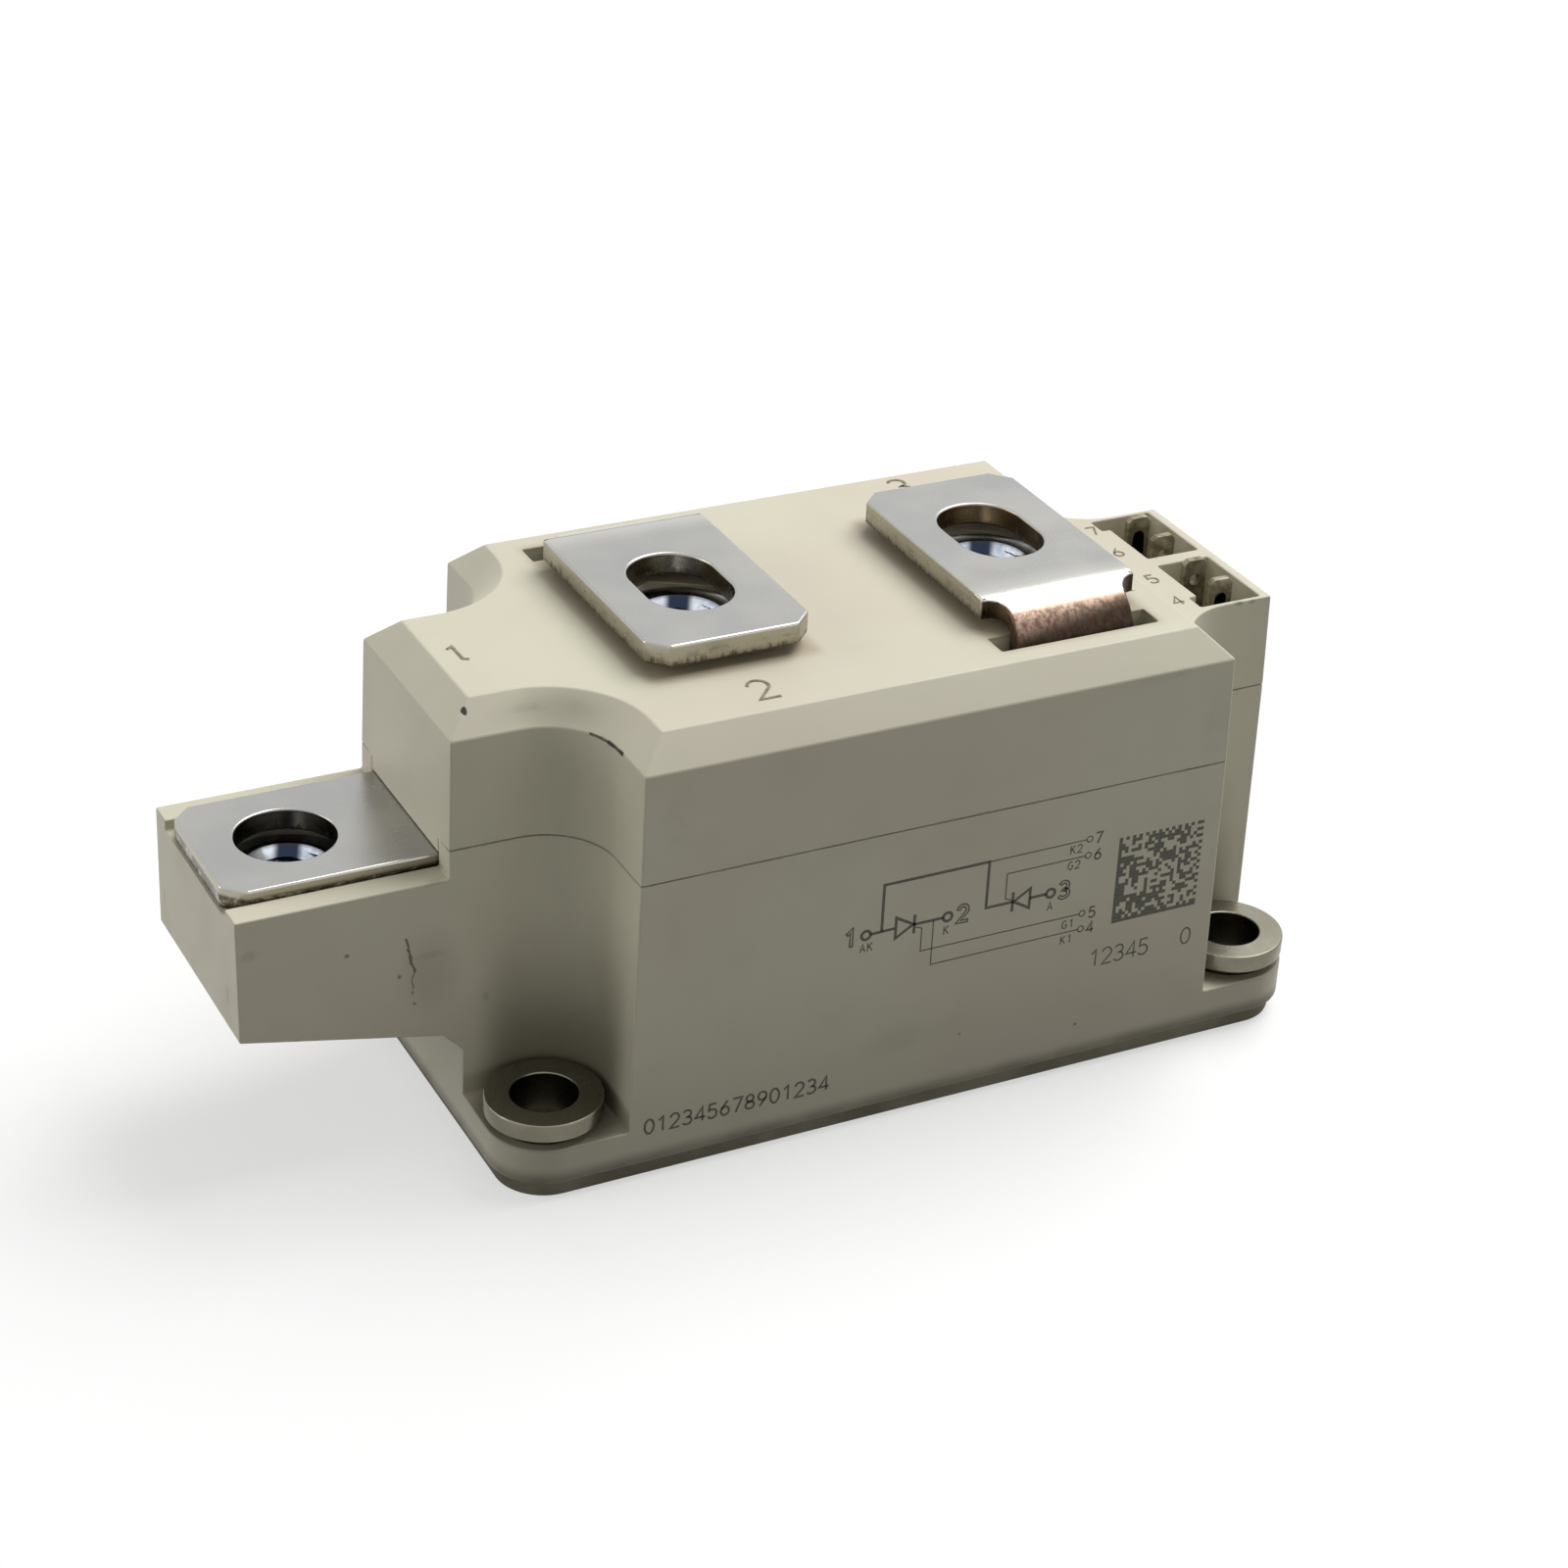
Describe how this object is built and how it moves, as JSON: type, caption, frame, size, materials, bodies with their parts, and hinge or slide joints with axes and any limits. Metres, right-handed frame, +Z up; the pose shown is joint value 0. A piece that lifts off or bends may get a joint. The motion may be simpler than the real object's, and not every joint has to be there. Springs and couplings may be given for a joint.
{
  "type": "dual thyristor power module",
  "caption": "Dual thyristor module in an insulated housing: flat base with corner bushes, an arm and two bent plates as M8 terminals, keyed control sockets.",
  "frame": {"origin": "centre of the base plate's flat face that bolts to the heat sink", "axes": "+X along the module from terminal 1's arm to the control sockets, +Y across it away from the side with the circuit diagram, +Z up from the heat sink"},
  "size_m": [0.1147, 0.05, 0.052],
  "materials": {
    "housing_plastic": "fine-textured moulded thermoplastic, warm light grey",
    "base_metal": "nickel plated copper with a dark oxidised edge",
    "terminal_plate": "tin plated copper strip, satin",
    "nut_steel": "zinc plated steel",
    "bush_steel": "plain turned steel, slightly darkened",
    "tab_metal": "tin plated brass",
    "ceramic": "fired aluminium nitride",
    "anode_metal": "ground molybdenum",
    "silicon": "polished silicon",
    "cap_plastic": "moulded thermoset",
    "clamp_steel": "phosphated spring and alloy steel",
    "lead_copper": "tinned copper"
  },
  "bodies": {
    "root": {"base_plate": "base_metal", "lower_housing": "housing_plastic", "top_cover": "housing_plastic", "terminal_1_bar": "terminal_plate", "terminal_2_bar": "terminal_plate", "terminal_3_bar": "terminal_plate", "cathode_link_bar": "terminal_plate", "terminal_1_nut": "nut_steel", "terminal_2_nut": "nut_steel", "terminal_3_nut": "nut_steel", "mount_bush_1": "bush_steel", "mount_bush_2": "bush_steel", "mount_bush_3": "bush_steel", "mount_bush_4": "bush_steel", "control_tab_4": "tab_metal", "control_tab_5": "tab_metal", "control_tab_6": "tab_metal", "control_tab_7": "tab_metal", "insulator_disc_1": "ceramic", "anode_disc_1": "anode_metal", "silicon_disc_1": "silicon", "insulating_cap_1": "cap_plastic", "gate_pin_1": "lead_copper", "pressure_plate_1": "clamp_steel", "lower_disc_spring_1": "clamp_steel", "upper_disc_spring_1": "clamp_steel", "clamp_plate_1": "clamp_steel", "clamp_screws_1": "clamp_steel", "insulator_disc_2": "ceramic", "anode_disc_2": "anode_metal", "silicon_disc_2": "silicon", "insulating_cap_2": "cap_plastic", "gate_pin_2": "lead_copper", "pressure_plate_2": "clamp_steel", "lower_disc_spring_2": "clamp_steel", "upper_disc_spring_2": "clamp_steel", "clamp_plate_2": "clamp_steel", "clamp_screws_2": "clamp_steel", "cathode_lead_4": "lead_copper", "gate_lead_5": "lead_copper", "gate_lead_6": "lead_copper", "cathode_lead_7": "lead_copper"}
  },
  "joints": []
}
